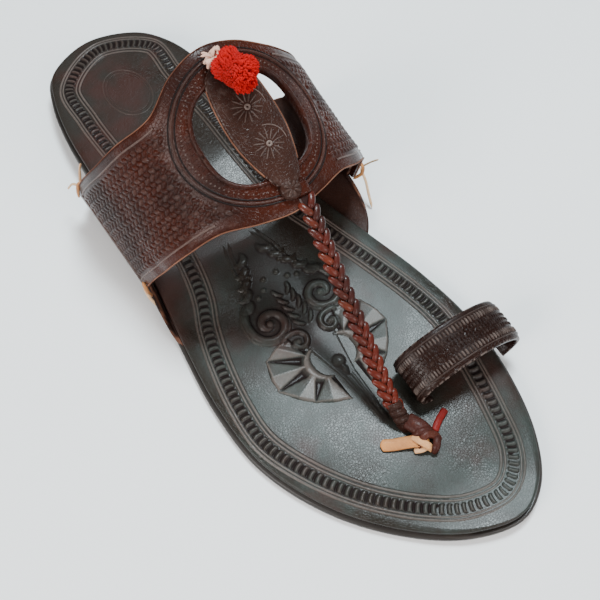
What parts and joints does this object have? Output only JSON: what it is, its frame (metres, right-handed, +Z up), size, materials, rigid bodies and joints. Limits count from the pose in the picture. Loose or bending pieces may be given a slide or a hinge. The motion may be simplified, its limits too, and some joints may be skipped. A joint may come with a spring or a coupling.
{
  "type": "kolhapuri sandal",
  "caption": "Open leather sandal with a wide embossed instep band, a braided toe strap, a toe ring, side flaps and a low stacked heel.",
  "frame": {"origin": "On the ground, at the middle of the shoe's bounding box.", "axes": "+Y from heel to toe, +X to the wearer's right (the outer side of this right shoe), +Z up."},
  "size_m": [0.104, 0.27, 0.0985],
  "materials": {
    "sole_leather": "semi-matt, edges dyed dark",
    "insole_leather": "embossed, waxed",
    "band_leather": "embossed, waxed",
    "lace_leather": "natural, undyed",
    "red_wool": "fluffy",
    "pale_thread": "matt"
  },
  "bodies": {
    "root": {"outsole": "sole_leather", "heel_lift": "sole_leather", "insole": "insole_leather", "ear_flap_lateral": "band_leather", "ear_flap_medial": "band_leather", "upper": "band_leather", "toe_ring": "band_leather", "thong_knot": "lace_leather", "pompom": "red_wool", "pompom_tie": "pale_thread"}
  },
  "joints": []
}
